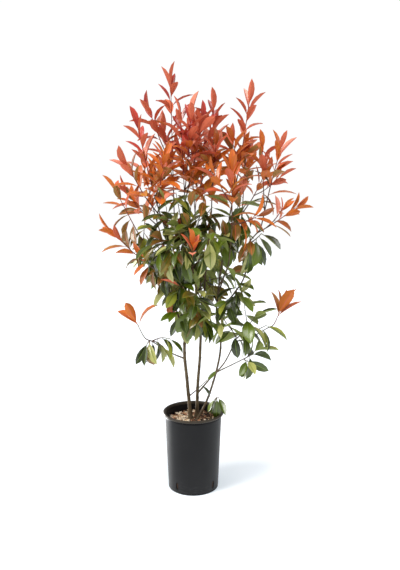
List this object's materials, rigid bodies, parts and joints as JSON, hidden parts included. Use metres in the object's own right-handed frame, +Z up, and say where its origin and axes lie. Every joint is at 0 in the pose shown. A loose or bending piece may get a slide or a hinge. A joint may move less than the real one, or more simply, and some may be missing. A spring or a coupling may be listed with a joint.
{
  "type": "potted red-tipped photinia shrub",
  "caption": "Young evergreen shrub with red new leaves over green ones, several slim stems in a round dark nursery pot.",
  "frame": {"origin": "middle of the flat underside of the pot, where it stands on the floor", "axes": "+Z up along the shrub, -Y towards the shrub's front, +X to the right of someone who faces the front"},
  "size_m": [0.6766, 0.5239, 1.4175],
  "materials": {
    "pot_plastic": "satin",
    "potting_mix": "matte",
    "bark": "matte",
    "young_foliage": "satin",
    "green_foliage": "satin"
  },
  "bodies": {
    "root": {"bough_back": "bark", "bough_back_left": "bark", "bough_back_right": "bark", "bough_front": "bark", "bough_front_right": "bark", "bough_left": "bark", "bough_low_left": "bark", "bough_low_right": "bark", "bough_lowest_right": "bark", "bough_right": "bark", "bough_rosette": "bark", "foliage_back_centre": "young_foliage", "foliage_back_left": "young_foliage", "foliage_back_lower_left": "green_foliage", "foliage_back_lower_right": "green_foliage", "foliage_back_right": "young_foliage", "foliage_basal": "green_foliage", "foliage_far_left": "young_foliage", "foliage_far_left_low": "young_foliage", "foliage_front_right": "young_foliage", "foliage_low_left": "green_foliage", "foliage_low_right": "green_foliage", "foliage_low_twig": "green_foliage", "foliage_lower_centre": "green_foliage", "foliage_lower_left": "green_foliage", "foliage_lower_right": "green_foliage", "foliage_lowest_right": "green_foliage", "foliage_middle_centre": "green_foliage", "foliage_middle_front": "green_foliage", "foliage_middle_left": "green_foliage", "foliage_middle_right": "green_foliage", "foliage_right_hanging": "green_foliage", "foliage_right_high": "young_foliage", "foliage_right_side": "young_foliage", "foliage_rosette": "young_foliage", "foliage_top_centre": "young_foliage", "foliage_top_left": "young_foliage", "foliage_top_right": "young_foliage", "foliage_upper_left": "young_foliage", "foliage_upper_right": "young_foliage", "leader_centre": "bark", "leader_far_left": "bark", "leader_middle": "bark", "leader_rear_left": "bark", "leader_right": "bark", "pot": "pot_plastic", "potting_mix": "potting_mix", "shoot_basal": "bark", "stem_left": "bark", "stem_middle": "bark", "stem_right": "bark"}
  },
  "joints": []
}
